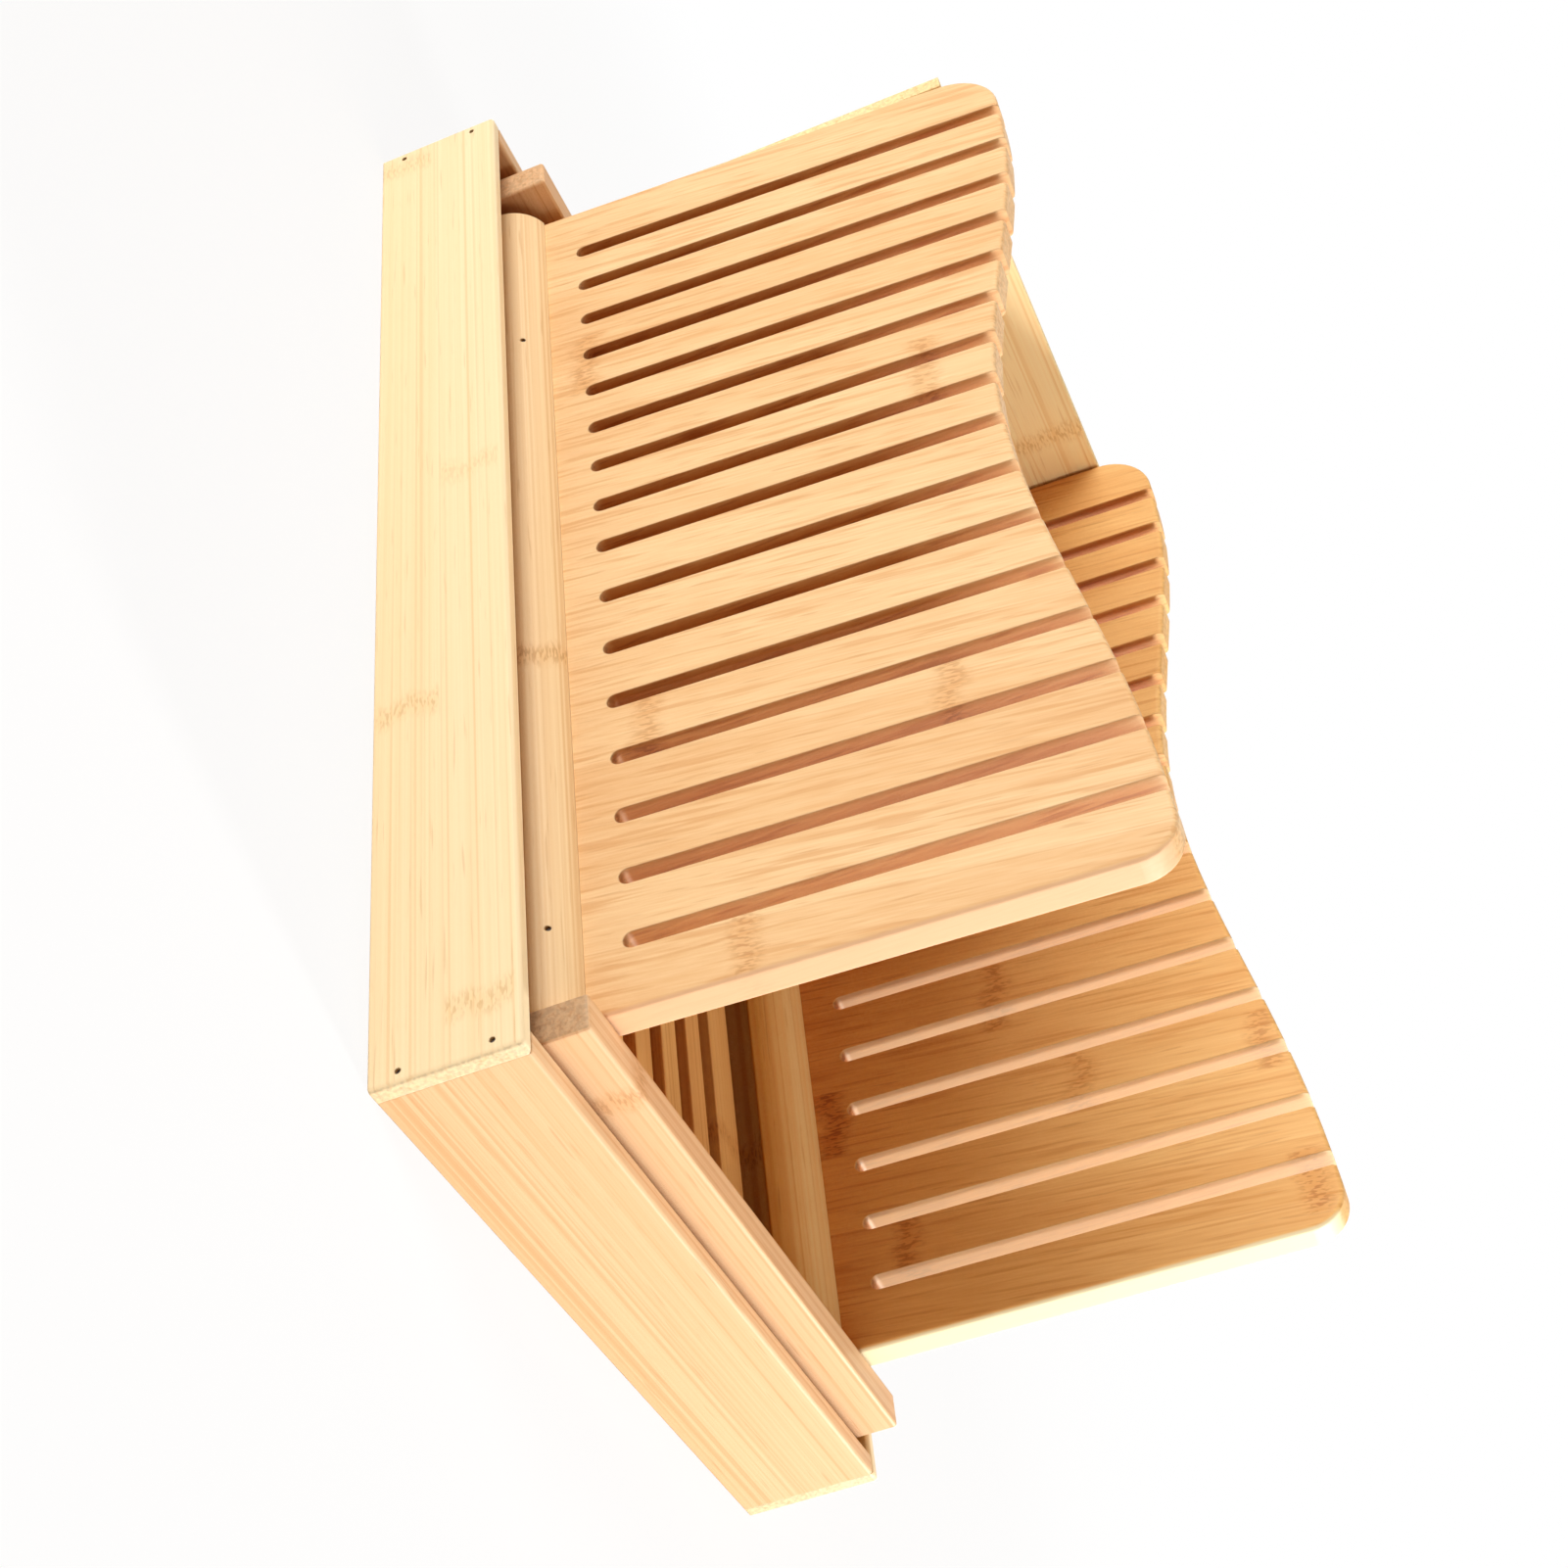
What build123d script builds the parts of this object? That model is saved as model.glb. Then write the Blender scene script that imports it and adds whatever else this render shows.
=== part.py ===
"""Bread slicer guide: a crumb tray, a lift-out slatted frame, two slotted guides
that fold down flat over the slats, and a loose end board.

Millimetres. X runs along the loaf, from the end board (-X) to the open end (+X).
Y runs across it, from the front guide (-Y) to the back guide (+Y). Z is up.
The origin is on the table, under the middle of the crumb tray.
"""
from build123d import *
import os
from math import cos, radians, sin, sqrt

# ---------------------------------------------------------------- driving dimensions
# Crumb tray: two long side panels lap the ends of the two end panels
tray_length = 368.0
tray_width = 226.0
tray_height = 38.5
side_panel = 4.8
end_panel = 6.6
tray_floor = 4.0
panel_round = 1.2

# Slicing frame: two end bars joined by slats, loose in the tray
near_gap = 3.3
far_gap = 5.7
front_gap = 9.3
back_gap = 3.3
bar_thickness = 10.3
bar_height = 44.6
bar_round = 1.0
slats_per_side = 3
slat_width = 10.6
edge_slat_width = 15.5
slat_space = 8.9
slat_thickness = 8.0
slat_round = 0.5
ledger_width = 10.0
ledger_height = 8.0
ledger_rise = 5.0

# End board: stands in the gap between the far bar and the guides
board_thickness = 5.0
board_slack = 0.8
board_height = 148.5
board_front_setback = 3.0
board_back_reach = 7.4
board_round = 0.5
notch_slack = 2.6

# Guides: a half-round hinge rail with a slotted plate glued into its groove
near_slack = 0.9
front_rail_inset = 14.6
back_rail_inset = 20.8
rail_axis_height = 31.5
rail_radius = 13.0
rail_skirt = 3.5
rail_round = 1.0
groove_bed = 1.5
plate_thickness = 10.0
plate_round = 1.5
front_lean = 3.0
back_lean = 2.2

# Wavy top of the plates: rises are measured up the plate from the rail's axis
far_end_rise = 156.7
far_end_slope = 0.16
far_crest_rise = 157.4
far_crest_inset = 26.0
trough_rise = 137.8
trough_inset = 153.8
near_end_rise = 155.4
far_crown_radius = 16.0
near_crown_radius = 11.0

# Slots: from the far end first at the thin-slice pitch, then at the thick-slice pitch
slot_width = 4.9
slot_bed_rise = 21.9
first_slot_inset = 21.7
thin_pitch = 17.0
thin_steps = 8
thick_pitch = 20.0
thick_steps = 7

# Hinge pins: fixed in blind bores of the end bars, running in the guides' ends
pin_radius = 2.0
pin_slack = 0.1
pin_seat = 7.0
pin_reach = 20.0
pin_end_slack = 1.0
pin_chamfer = 0.4
front_pivot_outset = 3.2
front_pivot_rise = 2.5
back_pivot_inset = 5.5
back_pivot_rise = 4.0

# Brads: headless, driven just below the surface
brad_radius = 0.8
brad_sink = 0.8
tray_brad_bite = 13.0
tray_brad_margin = 7.5
ledger_brad_bite = 6.0
ledger_brad_margin = 20.0
rail_brad_rise = 5.7
near_rail_brad_inset = 24.9
far_rail_brad_inset = 64.8

# ---------------------------------------------------------------- derived sizes
inner_length = tray_length - 2 * end_panel
inner_width = tray_width - 2 * side_panel
tray_brad_x = (tray_length - end_panel) / 2

frame_near = inner_length / 2 - near_gap
frame_far = -inner_length / 2 + far_gap
frame_front = -inner_width / 2 + front_gap
frame_back = inner_width / 2 - back_gap
frame_width = frame_back - frame_front
frame_middle = (frame_front + frame_back) / 2
between_near = frame_near - bar_thickness
between_far = frame_far + bar_thickness

ledger_base = tray_floor + ledger_rise
ledger_middle = ledger_base + ledger_height / 2
slat_base = ledger_base + ledger_height
slat_top = slat_base + slat_thickness
slat_pitch = slat_width + slat_space
inner_slats_per_side = slats_per_side - 1
bed_half = slat_pitch * inner_slats_per_side + slat_space / 2 + edge_slat_width

guide_near = between_near - near_slack
guide_far = between_far + board_thickness + 2 * board_slack
guide_length = guide_near - guide_far
front_guide_y = frame_front + front_rail_inset
back_guide_y = frame_back - back_rail_inset
front_pivot = (front_guide_y - front_pivot_outset, rail_axis_height + front_pivot_rise)
back_pivot = (back_guide_y - back_pivot_inset, rail_axis_height + back_pivot_rise)
pin_bore = pin_radius + pin_slack
rail_flank = sqrt(rail_radius**2 - rail_brad_rise**2)

thin_insets = [first_slot_inset + thin_pitch * step for step in range(thin_steps + 1)]
thick_insets = [thin_insets[-1] + thick_pitch * step for step in range(1, thick_steps + 1)]
slot_places = [guide_far + inset for inset in thin_insets + thick_insets]

tray_brads = [
    (side * tray_brad_x, height)
    for side in (-1, 1)
    for height in (tray_brad_margin, tray_height - tray_brad_margin)
]
ledger_brad_spread = bed_half - ledger_brad_margin
ledger_brad_spots = [(frame_middle + side * ledger_brad_spread, ledger_middle) for side in (-1, 1)]
rail_brad_spots = [
    (guide_near - near_rail_brad_inset, rail_brad_rise),
    (guide_far + far_rail_brad_inset, rail_brad_rise),
]

os.makedirs("parts", exist_ok=True)


def save(piece, name):
    """Label a finished piece and write it under its name."""
    piece.part.label = name
    export_step(piece.part, f"parts/{name}.step")


# ---------------------------------------------------------------- crumb tray
def tray_side_panel(side):
    """Long panel, at the front (side -1) or the back (side 1), eased and drilled."""
    with BuildPart() as panel:
        with BuildSketch(Plane.XY):
            with Locations((0, side * (tray_width - side_panel) / 2)):
                Rectangle(tray_length, side_panel)
        extrude(amount=tray_height)
        outside = panel.faces().sort_by(Axis.Y)[0 if side < 0 else -1]
        top = panel.faces().sort_by(Axis.Z)[-1]
        fillet(outside.edges().filter_by(Axis.Z) + top.edges(), panel_round)
        with BuildSketch(Plane.XZ.offset(-side * tray_width / 2)):
            with Locations(*tray_brads):
                Circle(brad_radius)
        extrude(amount=side * side_panel, mode=Mode.SUBTRACT)
    return panel


def tray_end_panel(end):
    """Short panel between the side panels, at the near (end 1) or far (end -1) end."""
    with BuildPart() as panel:
        with BuildSketch(Plane.XY):
            with Locations((end * tray_brad_x, 0)):
                Rectangle(end_panel, inner_width)
        extrude(amount=tray_height)
        fillet(panel.faces().sort_by(Axis.Z)[-1].edges().filter_by(Axis.Y), panel_round)
        for side in (-1, 1):
            with BuildSketch(Plane.XZ.offset(-side * inner_width / 2)):
                with Locations(*tray_brads):
                    Circle(brad_radius)
            extrude(amount=side * tray_brad_bite, mode=Mode.SUBTRACT)
    return panel


save(tray_side_panel(-1), "tray_front_panel")
save(tray_side_panel(1), "tray_back_panel")
save(tray_end_panel(1), "tray_near_end_panel")
save(tray_end_panel(-1), "tray_far_end_panel")

with BuildPart() as tray_bottom_panel:
    with BuildSketch(Plane.XY):
        Rectangle(inner_length, inner_width)
    extrude(amount=tray_floor)
save(tray_bottom_panel, "tray_bottom_panel")

with BuildPart() as tray_corner_brads:
    for side in (-1, 1):
        with BuildSketch(Plane.XZ.offset(-side * (tray_width / 2 - brad_sink))):
            with Locations(*tray_brads):
                Circle(brad_radius)
        extrude(amount=side * (side_panel - brad_sink + tray_brad_bite))
save(tray_corner_brads, "tray_corner_brads")


# ---------------------------------------------------------------- slicing frame
def end_bar(inner_x, end):
    """Cross bar with eased edges, bored on its inner face for pins and brads."""
    with BuildPart() as bar:
        with BuildSketch(Plane.XY.offset(tray_floor)):
            with Locations((inner_x + end * bar_thickness / 2, frame_middle)):
                Rectangle(bar_thickness, frame_width)
        extrude(amount=bar_height)
        fillet(bar.edges(), bar_round)
        with BuildSketch(Plane.YZ.offset(inner_x)):
            with Locations(front_pivot, back_pivot):
                Circle(pin_radius)
        extrude(amount=end * pin_seat, mode=Mode.SUBTRACT)
        with BuildSketch(Plane.YZ.offset(inner_x)):
            with Locations(*ledger_brad_spots):
                Circle(brad_radius)
        extrude(amount=end * ledger_brad_bite, mode=Mode.SUBTRACT)
    return bar


def slat(middle_y, width):
    """Slat from bar to bar on the ledgers, with eased long edges."""
    with BuildPart() as strip:
        with BuildSketch(Plane.XY.offset(slat_base)):
            with Locations(((between_near + between_far) / 2, middle_y)):
                Rectangle(between_near - between_far, width)
        extrude(amount=slat_thickness)
        fillet(strip.edges().filter_by(Axis.X), slat_round)
    return strip


def slat_ledger(inner_x, end):
    """Cleat under the slat ends, on an end bar's inner face."""
    with BuildPart() as cleat:
        with BuildSketch(Plane.XY.offset(ledger_base)):
            with Locations((inner_x - end * ledger_width / 2, frame_middle)):
                Rectangle(ledger_width, 2 * bed_half)
        extrude(amount=ledger_height)
        with BuildSketch(Plane.YZ.offset(inner_x)):
            with Locations(*ledger_brad_spots):
                Circle(brad_radius)
        extrude(amount=-end * ledger_width, mode=Mode.SUBTRACT)
    return cleat


def hinge_pin(pivot, inner_x, guide_end, end):
    """Steel pin from the bottom of a bar's bore into a guide's end."""
    with BuildPart() as pin:
        with BuildSketch(Plane.YZ.offset(inner_x + end * pin_seat)):
            with Locations(pivot):
                Circle(pin_radius)
        extrude(amount=guide_end - end * pin_reach - (inner_x + end * pin_seat))
        chamfer(pin.edges().filter_by(GeomType.CIRCLE), pin_chamfer)
    return pin


save(end_bar(between_near, 1), "near_end_bar")
save(end_bar(between_far, -1), "far_end_bar")

half_rows = [(slat_pitch * (row + 0.5), slat_width) for row in range(inner_slats_per_side)]
half_rows.append((bed_half - edge_slat_width / 2, edge_slat_width))
front_rows = [(-offset, width) for offset, width in reversed(half_rows)]
for number, (offset, width) in enumerate(front_rows + half_rows, start=1):
    save(slat(frame_middle + offset, width), f"slat_{number}")

save(slat_ledger(between_near, 1), "near_slat_ledger")
save(slat_ledger(between_far, -1), "far_slat_ledger")

with BuildPart() as ledger_brads:
    for inner_x, end in ((between_near, 1), (between_far, -1)):
        with BuildSketch(Plane.YZ.offset(inner_x - end * (ledger_width - brad_sink))):
            with Locations(*ledger_brad_spots):
                Circle(brad_radius)
        extrude(amount=end * (ledger_width - brad_sink + ledger_brad_bite))
save(ledger_brads, "ledger_brads")

save(hinge_pin(front_pivot, between_near, guide_near, 1), "front_near_hinge_pin")
save(hinge_pin(front_pivot, between_far, guide_far, -1), "front_far_hinge_pin")
save(hinge_pin(back_pivot, between_near, guide_near, 1), "back_near_hinge_pin")
save(hinge_pin(back_pivot, between_far, guide_far, -1), "back_far_hinge_pin")


# ---------------------------------------------------------------- slotted guides
def guide_face(guide_y, lean):
    """Middle plane of a leaning plate: x along the guide, y up the plate, z frontwards."""
    tilt = radians(lean)
    return Plane(
        origin=(0, guide_y, rail_axis_height),
        x_dir=(1, 0, 0),
        z_dir=(0, -cos(tilt), sin(tilt)),
    )


def guide_section(guide_y, lean):
    """Section plane at a guide's far end: x across the plate, y up the plate."""
    tilt = radians(lean)
    return Plane(
        origin=(guide_far, guide_y, rail_axis_height),
        x_dir=(0, cos(tilt), -sin(tilt)),
        z_dir=(1, 0, 0),
    )


def hinge_rail(guide_y, lean, pivot, outward):
    """Half-round rail, grooved for the plate, bored at its ends and drilled for brads."""
    section = guide_section(guide_y, lean)
    with BuildPart() as rail:
        with BuildSketch(section):
            with BuildLine():
                CenterArc((0, 0), rail_radius, 0, 180)
                Polyline(
                    (-rail_radius, 0),
                    (-rail_radius, -rail_skirt),
                    (rail_radius, -rail_skirt),
                    (rail_radius, 0),
                )
            make_face()
        extrude(amount=guide_length)
        fillet(rail.faces().sort_by(Axis.Z)[0].edges().filter_by(Axis.X), rail_round)
        with BuildSketch(section):
            with Locations((0, groove_bed)):
                Rectangle(plate_thickness, rail_radius, align=(Align.CENTER, Align.MIN))
        extrude(amount=guide_length, mode=Mode.SUBTRACT)
        for end_x, inward in ((guide_near, -1), (guide_far, 1)):
            with BuildSketch(Plane.YZ.offset(end_x)):
                with Locations(pivot):
                    Circle(pin_bore)
            extrude(amount=inward * (pin_reach + pin_end_slack), mode=Mode.SUBTRACT)
        with BuildSketch(guide_face(guide_y, lean)):
            with Locations(*rail_brad_spots):
                Circle(brad_radius)
        extrude(amount=outward * rail_radius, mode=Mode.SUBTRACT)
    return rail


def slotted_plate(guide_y, lean, pivot, outward):
    """Upright plate with a wavy top, eased edges and knife slots open at the top."""
    face = guide_face(guide_y, lean)
    with BuildPart() as plate:
        with BuildSketch(face) as outline:
            with BuildLine():
                wave = Spline(
                    (guide_far, far_end_rise),
                    (guide_far + far_crest_inset, far_crest_rise),
                    (guide_far + trough_inset, trough_rise),
                    (guide_near, near_end_rise),
                    tangents=[(1, far_end_slope), (1, 0), (1, 0), (1, 0)],
                )
                Polyline(wave @ 1, (guide_near, groove_bed), (guide_far, groove_bed), wave @ 0)
            make_face()
            fillet(outline.vertices().sort_by(Axis.X)[:2].sort_by(Axis.Y)[-1], far_crown_radius)
            fillet(outline.vertices().sort_by(Axis.X)[-2:].sort_by(Axis.Y)[-1], near_crown_radius)
        extrude(amount=plate_thickness / 2, both=True)
        broad_faces = plate.faces().filter_by(face)
        fillet(broad_faces.edges().sort_by(Axis.Z)[2:], plate_round)
        with BuildSketch(face):
            with Locations(*[(x, slot_bed_rise + slot_width / 2) for x in slot_places]):
                Circle(slot_width / 2)
                Rectangle(slot_width, far_crest_rise, align=(Align.CENTER, Align.MIN))
        extrude(amount=plate_thickness, both=True, mode=Mode.SUBTRACT)
        for end_x, inward in ((guide_near, -1), (guide_far, 1)):
            with BuildSketch(Plane.YZ.offset(end_x)):
                with Locations(pivot):
                    Circle(pin_bore)
            extrude(amount=inward * (pin_reach + pin_end_slack), mode=Mode.SUBTRACT)
        with BuildSketch(face):
            with Locations(*rail_brad_spots):
                Circle(brad_radius)
        extrude(amount=outward * plate_thickness, mode=Mode.SUBTRACT)
    return plate


def rail_brads(guide_y, lean, outward):
    """Brads through a rail's outer cheek into the plate's foot."""
    with BuildPart() as brads:
        with BuildSketch(guide_face(guide_y, lean)):
            with Locations(*rail_brad_spots):
                Circle(brad_radius)
        extrude(amount=outward * (rail_flank - brad_sink))
    return brads


save(hinge_rail(front_guide_y, front_lean, front_pivot, 1), "front_hinge_rail")
save(slotted_plate(front_guide_y, front_lean, front_pivot, 1), "front_slotted_plate")
save(rail_brads(front_guide_y, front_lean, 1), "front_rail_brads")
save(hinge_rail(back_guide_y, back_lean, back_pivot, -1), "back_hinge_rail")
save(slotted_plate(back_guide_y, back_lean, back_pivot, -1), "back_slotted_plate")
save(rail_brads(back_guide_y, back_lean, -1), "back_rail_brads")

# ---------------------------------------------------------------- end board
board_front = front_guide_y + board_front_setback
board_back = back_guide_y + board_back_reach
board_top = slat_top + board_height
notch_side = back_pivot[0] - pin_radius - notch_slack
notch_top = back_pivot[1] + pin_radius + notch_slack

with BuildPart() as end_board:
    with BuildSketch(Plane.YZ.offset(between_far + board_slack)):
        with BuildLine():
            Polyline(
                (board_front, slat_top),
                (notch_side, slat_top),
                (notch_side, notch_top),
                (board_back, notch_top),
                (board_back, board_top),
                (board_front, board_top),
                close=True,
            )
        make_face()
    extrude(amount=board_thickness)
    fillet(end_board.faces().filter_by(Axis.X).edges(), board_round)
save(end_board, "end_board")
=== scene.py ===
"""Looks of the bread slicer guide: bamboo, steel pins, pale floor and soft light. Metres."""

from math import cos, radians, sin

import bpy
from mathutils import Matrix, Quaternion, Vector

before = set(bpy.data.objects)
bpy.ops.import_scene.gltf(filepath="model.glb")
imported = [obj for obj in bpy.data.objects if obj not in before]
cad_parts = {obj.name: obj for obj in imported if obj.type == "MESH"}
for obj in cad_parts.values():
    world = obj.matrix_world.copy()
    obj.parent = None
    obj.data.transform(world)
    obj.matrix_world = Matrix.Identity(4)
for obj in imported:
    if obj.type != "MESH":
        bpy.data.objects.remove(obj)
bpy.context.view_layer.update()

X_AXIS = Vector((1, 0, 0))
Y_AXIS = Vector((0, 1, 0))
Z_AXIS = Vector((0, 0, 1))
WHITE = (1.0, 1.0, 1.0, 1.0)
BLACK = (0.0, 0.0, 0.0, 1.0)

# ---------------------------------------------------------------- camera
CAMERA_PLACE = Vector((0.54985, -0.53720, 0.23449))
CAMERA_AIM = Vector((-0.01162, 0.03725, 0.06000))
CAMERA_ROLL = radians(70.98)
CAMERA_LENS = 61.26
CAMERA_SENSOR = 36.0
NEAREST_SEEN = 0.01


def add_camera():
    """The photograph's viewpoint: the object stands on its side in the frame."""
    camera = bpy.data.objects.new("camera", bpy.data.cameras.new("camera"))
    bpy.context.scene.collection.objects.link(camera)
    upright = (CAMERA_AIM - CAMERA_PLACE).to_track_quat("-Z", "Y")
    camera.rotation_mode = "QUATERNION"
    camera.rotation_quaternion = upright @ Quaternion(Z_AXIS, CAMERA_ROLL)
    camera.location = CAMERA_PLACE
    camera.data.sensor_width = CAMERA_SENSOR
    camera.data.lens = CAMERA_LENS
    camera.data.clip_start = NEAREST_SEEN
    bpy.context.scene.camera = camera


# ---------------------------------------------------------------- node helpers
def srgb(red, green, blue):
    """A colour given as it looks on screen, from 0 to 255, in linear light."""

    def linear(value):
        value /= 255
        return value / 12.92 if value <= 0.04045 else ((value + 0.055) / 1.055) ** 2.4

    return (linear(red), linear(green), linear(blue), 1.0)


def shade(tone, shares):
    """A colour with each channel multiplied by its share."""
    return tuple(value * share for value, share in zip(tone, shares)) + (1.0,)


class Graph:
    """Short names for the nodes that the materials are made of."""

    def __init__(self, tree):
        self.tree = tree

    def node(self, kind, **settings):
        node = self.tree.nodes.new(kind)
        for name, value in settings.items():
            setattr(node, name, value)
        return node

    def plug(self, socket, value):
        """Joins a socket to another node's output, or sets its value."""
        if isinstance(value, bpy.types.NodeSocket):
            self.tree.links.new(value, socket)
        else:
            socket.default_value = value

    def plug_all(self, sockets, values):
        for socket, value in zip(sockets, values):
            self.plug(socket, value)

    def math(self, operation, *values, clamp=False):
        node = self.node("ShaderNodeMath", operation=operation, use_clamp=clamp)
        self.plug_all(node.inputs, values)
        return node.outputs[0]

    def vector(self, operation, *values):
        node = self.node("ShaderNodeVectorMath", operation=operation)
        self.plug_all(node.inputs, values)
        return node.outputs["Vector"]

    def dot(self, first, second):
        node = self.node("ShaderNodeVectorMath", operation="DOT_PRODUCT")
        self.plug_all(node.inputs, (first, second))
        return node.outputs["Value"]

    def join(self, *values):
        """A vector or a plain colour from three numbers."""
        node = self.node("ShaderNodeCombineXYZ")
        self.plug_all(node.inputs, values)
        return node.outputs[0]

    def split(self, vector):
        node = self.node("ShaderNodeSeparateXYZ")
        self.plug(node.inputs[0], vector)
        return node.outputs

    def noise(self, place, stretch, detail=2.0):
        """Noise whose features are 1 / stretch long on each axis."""
        node = self.node("ShaderNodeTexNoise")
        self.plug(node.inputs["Vector"], self.vector("MULTIPLY", place, stretch))
        self.plug(node.inputs["Scale"], 1.0)
        self.plug(node.inputs["Detail"], detail)
        return node.outputs["Fac"]

    def random(self, value):
        """A random number from 0 to 1 for each whole number."""
        node = self.node("ShaderNodeTexWhiteNoise", noise_dimensions="1D")
        self.plug(node.inputs["W"], value)
        return node.outputs["Value"]

    def fade(self, value, low, high, start=0.0, end=1.0):
        """Smooth change from start to end as value goes from low to high."""
        node = self.node("ShaderNodeMapRange", interpolation_type="SMOOTHSTEP")
        self.plug_all(node.inputs, (value, low, high, start, end))
        return node.outputs[0]

    def mix(self, share, first, second, blend="MIX"):
        node = self.node("ShaderNodeMix", data_type="RGBA", blend_type=blend)
        self.plug(node.inputs[0], share)
        self.plug(node.inputs[6], first)
        self.plug(node.inputs[7], second)
        return node.outputs[2]

    def mix_shaders(self, share, first, second):
        node = self.node("ShaderNodeMixShader")
        self.plug_all(node.inputs, (share, first, second))
        return node.outputs[0]


def new_material(name):
    """An empty material, its graph and its surface shader."""
    material = bpy.data.materials.new(name)
    material.use_nodes = True
    return material, Graph(material.node_tree), material.node_tree.nodes["Principled BSDF"]


# ---------------------------------------------------------------- joints of the cane
MARK_REACH = 0.0065
MARK_WOBBLE = 0.0090
MARK_SIDE_FADE = 0.0015
WOBBLE_GRAIN = (30, 150, 150)
STROKE_GRAIN = (380, 1400, 1400)
STROKE_FADE = (0.46, 0.60)


def node_mark_group():
    """The scar that a joint of the cane leaves across one strip: a halo and short strokes."""
    tree = bpy.data.node_groups.new("node_mark", "ShaderNodeTree")
    tree.interface.new_socket("Wood", in_out="INPUT", socket_type="NodeSocketVector")
    for name in ("Run", "Side", "Half"):
        tree.interface.new_socket(name, in_out="INPUT", socket_type="NodeSocketFloat")
    for name in ("Halo", "Strokes"):
        tree.interface.new_socket(name, in_out="OUTPUT", socket_type="NodeSocketFloat")
    graph = Graph(tree)
    inside = graph.node("NodeGroupInput").outputs
    outside = graph.node("NodeGroupOutput").inputs
    wood, half = inside["Wood"], inside["Half"]
    run, side = graph.split(wood)[:2]
    wobble = graph.math("SUBTRACT", graph.noise(wood, WOBBLE_GRAIN, detail=1.0), 0.5)
    wobble = graph.math("MULTIPLY", wobble, MARK_WOBBLE)
    away = graph.math("ADD", graph.math("SUBTRACT", run, inside["Run"]), wobble)
    halo = graph.fade(graph.math("ABSOLUTE", away), 0.0, MARK_REACH, 1.0, 0.0)
    off_strip = graph.math("ABSOLUTE", graph.math("SUBTRACT", side, inside["Side"]))
    inner_half = graph.math("SUBTRACT", half, MARK_SIDE_FADE)
    halo = graph.math("MULTIPLY", halo, graph.fade(off_strip, inner_half, half, 1.0, 0.0))
    strokes = graph.fade(graph.noise(wood, STROKE_GRAIN, detail=1.0), *STROKE_FADE)
    graph.plug(outside["Halo"], halo)
    graph.plug(outside["Strokes"], graph.math("MULTIPLY", halo, strokes))
    return tree


NODE_MARK = node_mark_group()

# ---------------------------------------------------------------- bamboo
# Grain noises, as features to a metre along the fibres and on the two axes across them
FINE_GRAIN = (5, 1400, 1400)
MEDIUM_GRAIN = (3, 330, 330)
BROAD_GRAIN = (3, 60, 60)
LINE_GRAIN = (1.4, 640, 640)
FIBRE_GRAIN = (45, 1000, 1000)
PORE_GRAIN = (300, 900, 900)

# Shares of the grain noises and of each strip's own tone in how pale the wood is
FINE_SHARE = 0.85
MEDIUM_SHARE = 0.42
BROAD_SHARE = 0.55
STRIP_SHARE = 0.26
PALENESS_OFFSET = -0.48

# Where each noise starts and ends as a line, how strong the line is and how it darkens the wood
LINE_FADE, LINE_SHARE, LINE_SHADE = (0.54, 0.68), 0.50, (0.90, 0.80, 0.68)
FIBRE_FADE, FIBRE_SHARE, FIBRE_SHADE = (0.64, 0.76), 0.35, (0.75, 0.60, 0.45)
JOINT_SHARE, JOINT_SHADE, JOINT_WIDTH = 0.22, (0.80, 0.65, 0.50), 0.0004
HALO_SHARE, HALO_SHADE = 0.40, (0.95, 0.84, 0.66)
STROKE_SHARE, STROKE_SHADE = 0.65, (0.70, 0.56, 0.42)

STRIP_WIDTH = 0.019
FOOT_FADE = 0.001
SEED_STEP = (0.37, 0.53, 0.71)
STRIP_SEED_STEP = 17.0
END_FACING = (0.6, 0.9)
PORE_FADE = (0.38, 0.62)
PORE_TONES = (0.88, 1.04)
EDGE_ROUND = 0.0006
EDGE_SAMPLES = 4
EDGE_FADE = (0.70, 0.98)
# Share of the pale tone on rounded edges: partly edge wear, partly a painted highlight
EDGE_WEAR_HIGHLIGHT_SHARE = 0.45
ROUGHNESS = (0.60, 0.46)
GLOSS = 0.3
GRAIN_DEPTH = 0.0002
GRAIN_RELIEF = 0.25

# Painted light on the sawn walls of the plates: slot walls grow paler from the far place to the near
# one, and the upright face at the near end gets a painted highlight
LIT_WALL_FAR = -0.0400
LIT_WALL_NEAR = 0.0700
LIT_WALL_TONE_SHARE = 0.75
LIT_WALL_FACING = (0.6, 0.9)
NEAR_EDGE = 0.1600
NEAR_HIGHLIGHT_FADE = 0.002
NEAR_HIGHLIGHT_SHARE = 0.8
NEAR_HIGHLIGHT_FACING = (0.3, 0.8)

# Painted shade in slots, gaps and between the guides: deeper and darker in tone where ambient
# occlusion finds less open sky
PAINTED_SHADE_REACH = 0.22
PAINTED_SHADE_DEPTH = 2.2
PAINTED_SHADE_LOSS = 0.45
PAINTED_SHADE_SAMPLES = 6


def paleness(graph, grown, fine, side, strips, seed, foot):
    """How pale the wood is from 0 to 1: grain, a tone for each strip, and a darker foot."""
    strip_tone = graph.random(graph.math("ADD", graph.math("FLOOR", strips), STRIP_SEED_STEP * seed))
    tone = graph.math("MULTIPLY_ADD", fine, FINE_SHARE, PALENESS_OFFSET)
    tone = graph.math("MULTIPLY_ADD", graph.noise(grown, MEDIUM_GRAIN), MEDIUM_SHARE, tone)
    tone = graph.math("MULTIPLY_ADD", graph.noise(grown, BROAD_GRAIN), BROAD_SHARE, tone)
    tone = graph.math("MULTIPLY_ADD", strip_tone, STRIP_SHARE, tone)
    height, darker = foot
    below = graph.fade(side, height - FOOT_FADE, height + FOOT_FADE, -darker, 0.0)
    return graph.math("ADD", tone, below, clamp=True)


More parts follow.
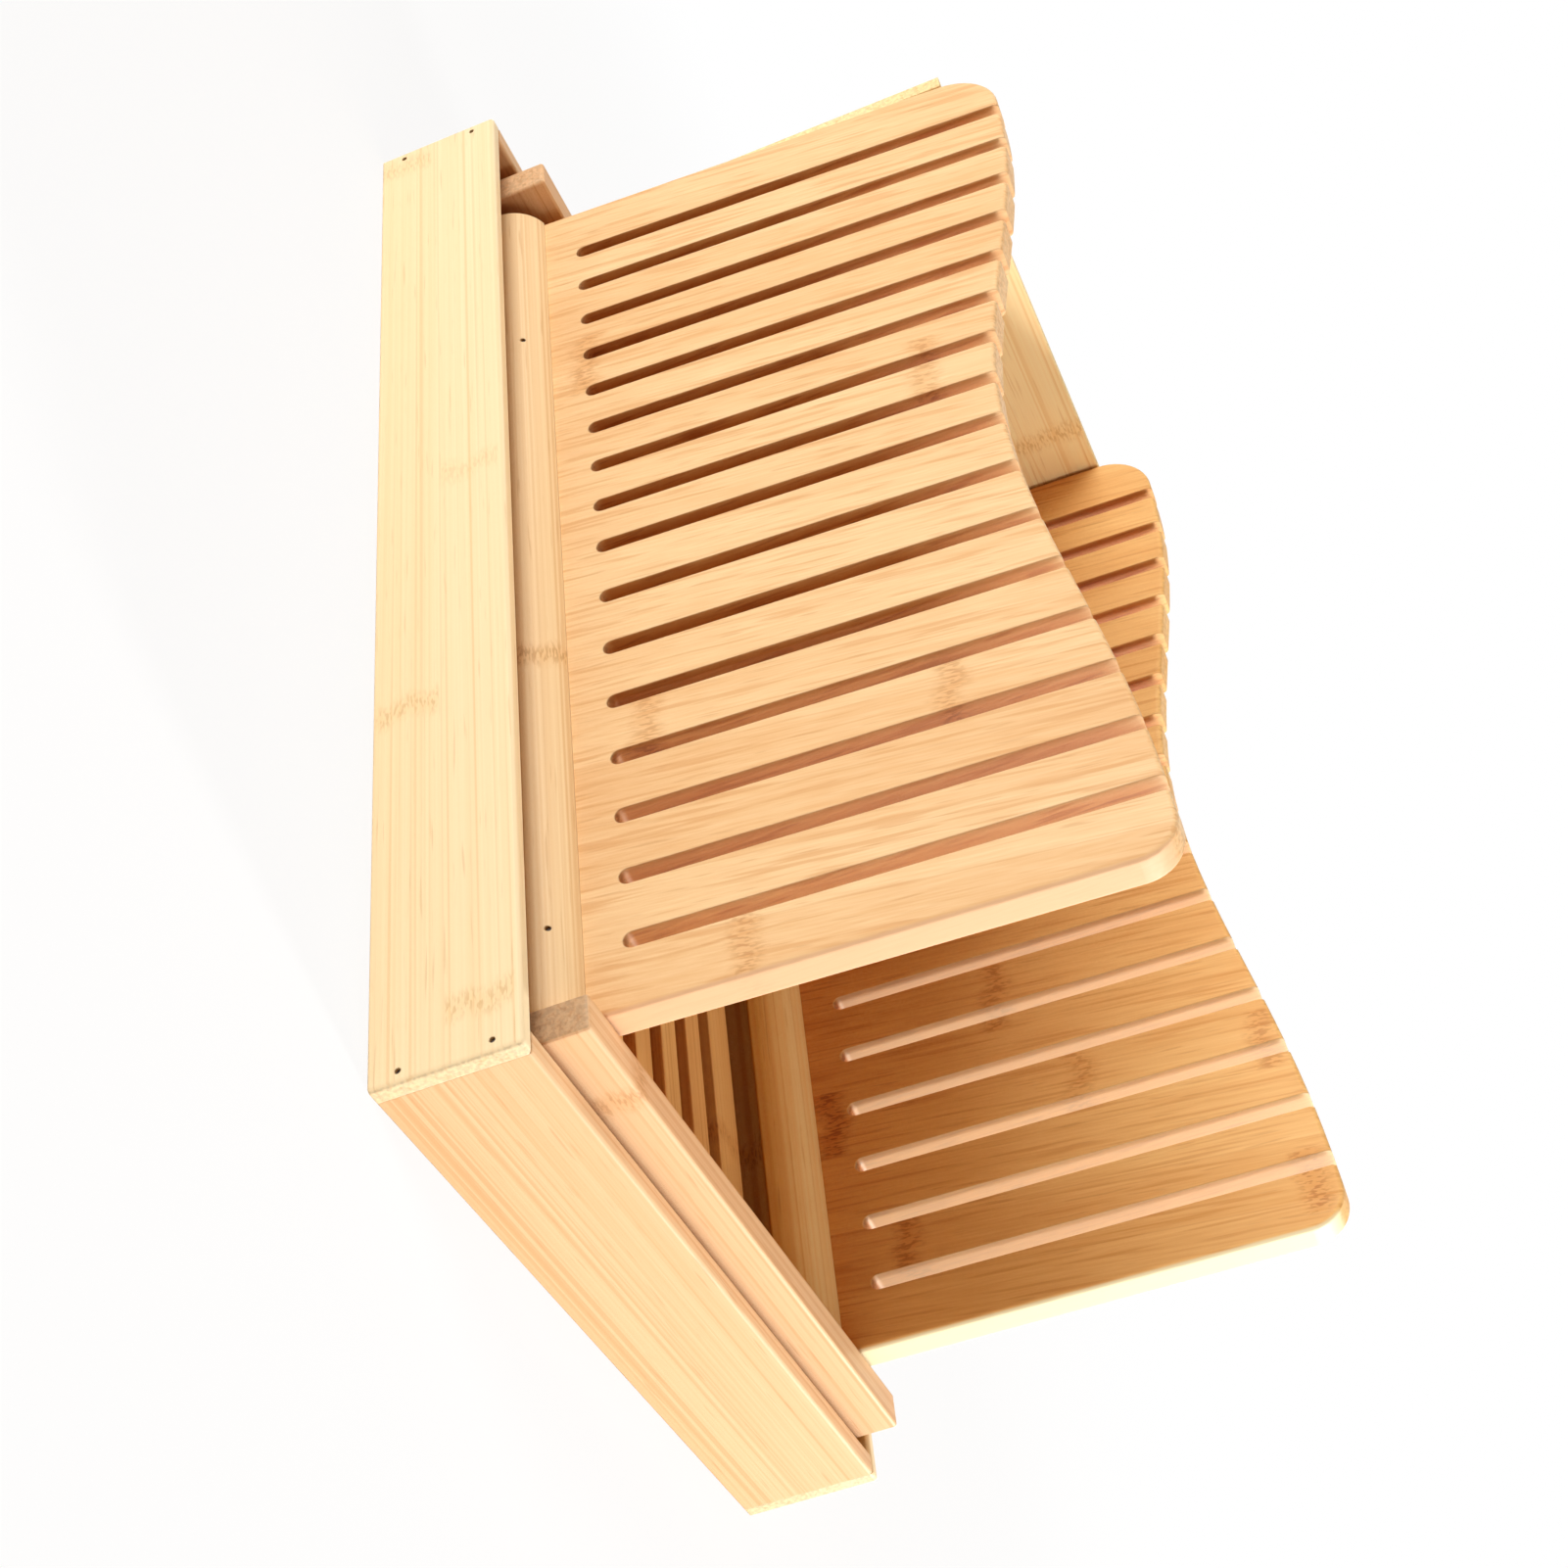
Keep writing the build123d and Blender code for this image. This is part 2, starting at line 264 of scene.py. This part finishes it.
def add_lines(graph, colour, grown, strips, strip, dark):
    """Long lines, short fibres and the glue lines between the strips."""
    lines = graph.noise(grown, LINE_GRAIN, detail=1.0)
    lines = graph.fade(lines, *LINE_FADE, 0.0, LINE_SHARE)
    colour = graph.mix(lines, colour, shade(dark, LINE_SHADE))
    fibres = graph.noise(grown, FIBRE_GRAIN, detail=1.0)
    fibres = graph.fade(fibres, *FIBRE_FADE, 0.0, FIBRE_SHARE)
    colour = graph.mix(fibres, colour, shade(dark, FIBRE_SHADE))
    off_middle = graph.math("ABSOLUTE", graph.math("SUBTRACT", graph.math("FRACT", strips), 0.5))
    joint = graph.fade(off_middle, 0.5 - JOINT_WIDTH / strip, 0.5, 0.0, JOINT_SHARE)
    return graph.mix(joint, colour, shade(dark, JOINT_SHADE))


def add_marks(graph, colour, wood, marks, along, across, dark):
    """The joints of the cane, each a darker halo with strokes in it."""
    for point, half_width, strength in marks:
        point = Vector(point)
        mark = graph.node("ShaderNodeGroup", node_tree=NODE_MARK)
        graph.plug_all(mark.inputs, (wood, point.dot(along), point.dot(across), half_width))
        halo = graph.math("MULTIPLY", mark.outputs["Halo"], HALO_SHARE * strength)
        colour = graph.mix(halo, colour, shade(dark, HALO_SHADE))
        strokes = graph.math("MULTIPLY", mark.outputs["Strokes"], STROKE_SHARE * strength)
        colour = graph.mix(strokes, colour, shade(dark, STROKE_SHADE))
    return colour


def add_end_grain(graph, colour, grown, facing, end_tone):
    """Open pores where the fibres are cut across."""
    end_grain = graph.fade(graph.math("ABSOLUTE", facing), *END_FACING)
    pores = graph.fade(graph.noise(grown, PORE_GRAIN), *PORE_FADE, *PORE_TONES)
    end_share = graph.math("MULTIPLY", pores, end_tone)
    grey = graph.join(end_share, end_share, end_share)
    return graph.mix(end_grain, colour, graph.mix(1.0, colour, grey, "MULTIPLY"))


def painted_cavity_shade(graph, colour, open_from):
    """Painted shade: deepens and darkens a colour in slots, gaps and between the guides, where light
    only arrives off bamboo.
    """
    opening = graph.node("ShaderNodeAmbientOcclusion", samples=PAINTED_SHADE_SAMPLES)
    opening.inputs["Distance"].default_value = PAINTED_SHADE_REACH
    shade_share = graph.math("SUBTRACT", open_from, opening.outputs["AO"])
    shade_share = graph.math("DIVIDE", shade_share, open_from, clamp=True)
    shade_gamma = graph.node("ShaderNodeGamma")
    graph.plug(shade_gamma.inputs["Color"], colour)
    graph.plug(shade_gamma.inputs["Gamma"], graph.math("MULTIPLY_ADD", shade_share, PAINTED_SHADE_DEPTH, 1.0))
    return graph.mix(graph.math("MULTIPLY", shade_share, PAINTED_SHADE_LOSS), shade_gamma.outputs[0], BLACK)


def paint_wall_light(graph, shaded, colour, place, wall, cut, near_highlight):
    """Painted light: paler slot walls towards the near end, and a painted highlight on the plate's
    upright face at that end.
    """
    lit_wall_tone, lit_wall_share = cut
    run = graph.split(place)[0]
    wall_light_colour = graph.mix(graph.math("MULTIPLY", wall, LIT_WALL_TONE_SHARE), colour, lit_wall_tone)
    painted_light_share = graph.fade(run, LIT_WALL_FAR, LIT_WALL_NEAR, 0.0, lit_wall_share)
    painted_light_share = graph.math("MULTIPLY", painted_light_share, graph.fade(wall, *LIT_WALL_FACING))
    shaded = graph.mix(painted_light_share, shaded, wall_light_colour)
    # Painted highlight on the plate's upright face at the near end
    highlight_share = graph.fade(run, NEAR_EDGE - NEAR_HIGHLIGHT_FADE, NEAR_EDGE, 0.0, NEAR_HIGHLIGHT_SHARE)
    highlight_share = graph.math("MULTIPLY", highlight_share, graph.fade(wall, *NEAR_HIGHLIGHT_FACING))
    return graph.mix(highlight_share, shaded, near_highlight)


def bamboo(
    name,
    pale,
    dark,
    along,
    across,
    strip=STRIP_WIDTH,
    marks=(),
    seed=0,
    end_tone=0.9,
    foot=(0.0, 0.0),
    open_from=0.50,
    cut=None,
    near_highlight=None,
):
    """Laminated bamboo whose fibres run along one axis, in strips side by side.

    pale and dark bound the grain's colours. marks are the cane's joints, each
    as (place, half its width across the fibres, strength). foot is a height
    across the fibres and how much darker the strips below it are. open_from is
    the share of open sky under which the wood gets painted shade. cut is the
    tone of painted light on sawn walls that face across the fibres, and how far
    it replaces the painted shade towards the near end. near_highlight is the
    tone of the painted highlight on the upright face at that end.
    """
    material, graph, shader = new_material(name)
    coordinates = graph.node("ShaderNodeTexCoord")
    place, normal = coordinates.outputs["Object"], coordinates.outputs["Normal"]
    side = graph.dot(place, across)
    wood = graph.join(graph.dot(place, along), side, graph.dot(place, along.cross(across)))
    grown = graph.vector("ADD", wood, tuple(step * seed for step in SEED_STEP))
    fine = graph.noise(grown, FINE_GRAIN)
    strips = graph.math("DIVIDE", side, strip)

    tone = paleness(graph, grown, fine, side, strips, seed, foot)
    colour = graph.mix(tone, dark, pale)
    colour = add_lines(graph, colour, grown, strips, strip, dark)
    colour = add_marks(graph, colour, wood, marks, along, across, dark)
    colour = add_end_grain(graph, colour, grown, graph.dot(normal, along), end_tone)

    rounding = graph.node("ShaderNodeBevel", samples=EDGE_SAMPLES)
    rounding.inputs["Radius"].default_value = EDGE_ROUND
    flat = graph.node("ShaderNodeNewGeometry").outputs["Normal"]
    # Rounded edges turn towards the pale tone: partly edge wear, partly a painted highlight along the
    # edges
    worn_and_highlit = graph.fade(graph.dot(rounding.outputs[0], flat), *EDGE_FADE, EDGE_WEAR_HIGHLIGHT_SHARE, 0.0)
    colour = graph.mix(worn_and_highlit, colour, pale)

    # Painted shade in slots, gaps and between the guides
    shaded = painted_cavity_shade(graph, colour, open_from)
    # Painted light on the slot walls and a painted highlight on the plate's near face
    if cut:
        wall = graph.math("ABSOLUTE", graph.dot(normal, across))
        shaded = paint_wall_light(graph, shaded, colour, place, wall, cut, near_highlight)
    graph.plug(shader.inputs["Base Color"], shaded)
    graph.plug(shader.inputs["Roughness"], graph.fade(tone, 0.0, 1.0, *ROUGHNESS))
    shader.inputs["Specular IOR Level"].default_value = GLOSS
    bump = graph.node("ShaderNodeBump")
    bump.inputs["Strength"].default_value = GRAIN_RELIEF
    bump.inputs["Distance"].default_value = GRAIN_DEPTH
    graph.plug(bump.inputs["Height"], fine)
    graph.plug(bump.inputs["Normal"], rounding.outputs[0])
    graph.plug(shader.inputs["Normal"], bump.outputs[0])
    return material


# ---------------------------------------------------------------- steel
SCRATCHES = (900, 4000, 4000)
TARNISH = (160, 160, 160)
TARNISH_SHADE = (0.6, 0.6, 0.6)
SMOOTHER, ROUGHER = 0.1, 0.15


def steel(name, tone, roughness):
    """Drawn wire with fine scratches along its length and a slight tarnish."""
    material, graph, shader = new_material(name)
    place = graph.node("ShaderNodeTexCoord").outputs["Object"]
    scratches = graph.noise(place, SCRATCHES, detail=3.0)
    tarnish = graph.noise(place, TARNISH)
    graph.plug(shader.inputs["Base Color"], graph.mix(tarnish, shade(tone, TARNISH_SHADE), tone))
    rough = graph.fade(scratches, 0, 1, roughness - SMOOTHER, roughness + ROUGHER)
    graph.plug(shader.inputs["Roughness"], rough)
    shader.inputs["Metallic"].default_value = 1.0
    return material


# ---------------------------------------------------------------- finishes of the pieces
# Marks: place of the cane's joint, half its width across the fibres, strength
SIDE_MARKS = (
    ((-0.1755, 0, 0.008), 0.0095, 0.5),
    ((-0.0186, 0, 0.028), 0.0095, 0.35),
    ((0.0663, 0, 0.0095), 0.0095, 0.7),
    ((0.1680, 0, 0.028), 0.0095, 0.7),
)
NEAR_BAR_MARKS = (((0, -0.0700, 0.042), 0.012, 0.9),)
FAR_BAR_MARKS = (((0, 0.0550, 0.020), 0.012, 0.9),)
BOARD_MARKS = (((0, 0.0656, 0.160), 0.016, 0.9), ((0, -0.0300, 0.085), 0.011, 0.7))
FRONT_RAIL_MARKS = (((0.0438, -0.0940, 0), 0.009, 1.0),)
BACK_RAIL_MARKS = (((-0.0600, 0.0850, 0), 0.009, 1.0),)
FRONT_PLATE_MARKS = (
    ((-0.0780, 0, 0.0547), 0.014, 0.9),
    ((-0.0276, 0, 0.1514), 0.013, 0.9),
    ((0.0731, 0, 0.0639), 0.011, 0.8),
    ((0.0930, 0, 0.1415), 0.013, 0.9),
    ((0.1545, 0, 0.0830), 0.010, 0.9),
)
BACK_PLATE_MARKS = (
    ((0.0861, 0, 0.0484), 0.012, 1.6),
    ((0.0576, 0, 0.1027), 0.013, 1.0),
    ((0.0939, 0, 0.1225), 0.011, 0.8),
    ((0.0991, 0, 0.1770), 0.011, 0.9),
    ((0.1483, 0, 0.1790), 0.011, 1.2),
    ((0.1349, 0, 0.0664), 0.011, 1.2),
    ((-0.0900, 0, 0.0900), 0.013, 1.0),
)
SLATS = 6
SLAT_MARK_START = -0.170
SLAT_MARK_STEP = 0.045
WHOLE_SLAT = 0.3

BAR_STRIP = 0.015
SLAT_STRIP = 0.03
PLATE_STRIP = 0.02
SIDE_FOOT = (0.019, 0.22)
# Shares of open sky below which the wood gets painted shade
OUTER_OPEN = 0.30
INNER_OPEN = 0.20

# The plates are cut from a panel a little out of line with its fibres
PLATE_SKEW = radians(4.5)
PLATE_GRAIN = Vector((sin(PLATE_SKEW), 0, cos(PLATE_SKEW)))
PLATE_SIDE = Vector((cos(PLATE_SKEW), 0, -sin(PLATE_SKEW)))
PLATE_END_TONE = 0.96


def dress(material, *names):
    """Gives CAD nodes their material."""
    for name in names:
        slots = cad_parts[name].data.materials
        slots.clear()
        slots.append(material)


def dress_tray():
    tones = srgb(255, 238, 198), srgb(249, 218, 168)
    looks = {"marks": SIDE_MARKS, "foot": SIDE_FOOT, "open_from": OUTER_OPEN}
    for seed, name in enumerate(("tray_front_panel", "tray_back_panel"), start=1):
        dress(bamboo(name, *tones, X_AXIS, Z_AXIS, seed=seed, **looks), name)
    end_tones = srgb(241, 207, 163), srgb(229, 177, 125)
    for seed, name in enumerate(("tray_near_end_panel", "tray_far_end_panel"), start=3):
        dress(bamboo(name, *end_tones, Y_AXIS, Z_AXIS, seed=seed, open_from=OUTER_OPEN), name)
    dress(bamboo("tray_bottom", *end_tones, X_AXIS, Y_AXIS, seed=5), "tray_bottom_panel")


def dress_frame():
    tones = srgb(242, 205, 161), srgb(228, 177, 126)
    bars = (("near_end_bar", 0.72, NEAR_BAR_MARKS), ("far_end_bar", 0.92, FAR_BAR_MARKS))
    for seed, (name, end_tone, marks) in enumerate(bars, start=6):
        looks = {"marks": marks, "end_tone": end_tone, "open_from": OUTER_OPEN}
        dress(bamboo(name, *tones, Y_AXIS, Z_AXIS, BAR_STRIP, seed=seed, **looks), name)
    slat_tones = srgb(250, 206, 132), srgb(222, 160, 90)
    for number in range(1, SLATS + 1):
        name = f"slat_{number}"
        joint = SLAT_MARK_START + SLAT_MARK_STEP * number
        looks = {"marks": (((joint, 0, 0), WHOLE_SLAT, 0.7),), "open_from": INNER_OPEN}
        dress(bamboo(name, *slat_tones, X_AXIS, Y_AXIS, SLAT_STRIP, seed=8 + number, **looks), name)
    ledgers = bamboo("ledgers", *slat_tones, Y_AXIS, X_AXIS, seed=15)
    dress(ledgers, "near_slat_ledger", "far_slat_ledger")


def dress_guide(guide, seed, rail_tones, rail_marks, plate_tones, plate_marks, cut, near_highlight):
    name = f"{guide}_slotted_plate"
    looks = {"marks": plate_marks, "end_tone": PLATE_END_TONE, "cut": cut, "near_highlight": near_highlight}
    plate = bamboo(name, *plate_tones, PLATE_GRAIN, PLATE_SIDE, PLATE_STRIP, seed=seed, **looks)
    dress(plate, name)
    name = f"{guide}_hinge_rail"
    dress(bamboo(name, *rail_tones, X_AXIS, Y_AXIS, seed=seed + 2, marks=rail_marks), name)


def dress_guides():
    dress_guide(
        "front",
        seed=16,
        rail_tones=(srgb(254, 228, 182), srgb(233, 192, 138)),
        rail_marks=FRONT_RAIL_MARKS,
        plate_tones=(srgb(250, 215, 163), srgb(229, 175, 115)),
        plate_marks=FRONT_PLATE_MARKS,
        # Painted light on the slot walls, then the painted highlight on the plate's near face
        cut=(srgb(236, 206, 150), 0.08),
        near_highlight=srgb(236, 190, 148),
    )
    dress_guide(
        "back",
        seed=17,
        rail_tones=(srgb(255, 230, 168), srgb(248, 198, 126)),
        rail_marks=BACK_RAIL_MARKS,
        plate_tones=(srgb(250, 205, 133), srgb(226, 164, 90)),
        plate_marks=BACK_PLATE_MARKS,
        # Painted light on the slot walls, then the painted highlight on the plate's near face
        cut=(srgb(252, 236, 192), 0.6),
        near_highlight=srgb(244, 234, 194),
    )


def dress_board():
    tones = srgb(255, 236, 182), srgb(250, 214, 150)
    looks = {"marks": BOARD_MARKS, "end_tone": 1.0, "open_from": INNER_OPEN}
    dress(bamboo("end_board", *tones, Y_AXIS, Z_AXIS, seed=20, **looks), "end_board")


def dress_metal():
    pins = [f"{guide}_{end}_hinge_pin" for guide in ("front", "back") for end in ("near", "far")]
    dress(steel("hinge_pin_steel", srgb(196, 196, 198), 0.35), *pins)
    brads = [f"{place}_brads" for place in ("tray_corner", "ledger", "front_rail", "back_rail")]
    dress(steel("brad_steel", srgb(120, 112, 104), 0.5), *brads)


# ---------------------------------------------------------------- stage and light
FLOOR_HALF = 6.0
FLOOR_TONE = (0.62, 0.58, 0.53, 1.0)
FLOOR_ROUGHNESS = 0.9
CHALK_TONE = (0.95, 0.95, 0.95, 1.0)
SHADOW_NEAR = 0.35
SHADOW_FAR = 0.9
SHADOW_SHARE = 0.15
WORLD_FILL = 0.20
FILL_TONE = (1.0, 0.76, 0.54, 1.0)
LAMP_AIM = Vector((0, 0, 0.08))

# Name, place, length of its sides, watts
LAMPS = (
    ("front_box", (-0.75, -1.65, 0.55), 0.9, 29.0),
    ("near_box", (2.00, 0.10, 0.45), 0.9, 19.0),
    ("back_box", (0.98, 1.60, 0.50), 0.30, 37.0),
    ("top_box", (0.00, 0.20, 2.20), 1.2, 10.0),
)


def direct_ray(graph):
    """1 for rays from the eye, also by way of gloss or glass, else 0."""
    rays = graph.node("ShaderNodeLightPath").outputs
    total = graph.math("MAXIMUM", rays["Is Camera Ray"], rays["Is Glossy Ray"])
    return graph.math("MAXIMUM", total, rays["Is Transmission Ray"])


def floor_paint():
    """Dull paint for the light; the eye sees chalk with a shadow, which fades to white."""
    material, graph, paint = new_material("pale_floor")
    paint.inputs["Base Color"].default_value = FLOOR_TONE
    paint.inputs["Roughness"].default_value = FLOOR_ROUGHNESS
    glow = graph.node("ShaderNodeEmission")
    chalk = graph.node("ShaderNodeBsdfDiffuse")
    chalk.inputs["Color"].default_value = CHALK_TONE
    distance = graph.node("ShaderNodeVectorMath", operation="LENGTH")
    graph.plug(distance.inputs[0], graph.node("ShaderNodeTexCoord").outputs["Object"])
    white = graph.fade(distance.outputs["Value"], SHADOW_NEAR, SHADOW_FAR, 1 - SHADOW_SHARE, 1.0)
    seen = graph.mix_shaders(white, chalk.outputs[0], glow.outputs[0])
    lit = graph.mix_shaders(direct_ray(graph), paint.outputs[0], seen)
    output = material.node_tree.nodes["Material Output"]
    graph.plug(output.inputs["Surface"], lit)
    return material


def add_floor():
    """A pale floor that keeps a faint shadow near the object."""
    mesh = bpy.data.meshes.new("floor")
    corners = [(-FLOOR_HALF, -FLOOR_HALF, 0), (FLOOR_HALF, -FLOOR_HALF, 0)]
    corners += [(FLOOR_HALF, FLOOR_HALF, 0), (-FLOOR_HALF, FLOOR_HALF, 0)]
    mesh.from_pydata(corners, [], [(0, 1, 2, 3)])
    mesh.materials.append(floor_paint())
    floor = bpy.data.objects.new("floor", mesh)
    bpy.context.scene.collection.objects.link(floor)


def add_world():
    """White where the eye sees it, and a dim warm fill on the object."""
    world = bpy.data.worlds.new("studio")
    world.use_nodes = True
    graph = Graph(world.node_tree)
    background = world.node_tree.nodes["Background"]
    seen = direct_ray(graph)
    graph.plug(background.inputs["Color"], graph.mix(seen, FILL_TONE, WHITE))
    graph.plug(background.inputs["Strength"], graph.fade(seen, 0, 1, WORLD_FILL, 1.0))
    bpy.context.scene.world = world


def add_lamp(name, place, size, power):
    """A square softbox that faces the object."""
    light = bpy.data.lights.new(name, "AREA")
    light.size = size
    light.energy = power
    lamp = bpy.data.objects.new(name, light)
    bpy.context.scene.collection.objects.link(lamp)
    lamp.location = place
    lamp.rotation_mode = "QUATERNION"
    lamp.rotation_quaternion = (LAMP_AIM - Vector(place)).to_track_quat("-Z", "Y")


dress_tray()
dress_frame()
dress_guides()
dress_board()
dress_metal()
add_camera()
add_floor()
add_world()
for lamp_facts in LAMPS:
    add_lamp(*lamp_facts)

view = bpy.context.scene.view_settings
view.view_transform = "Standard"
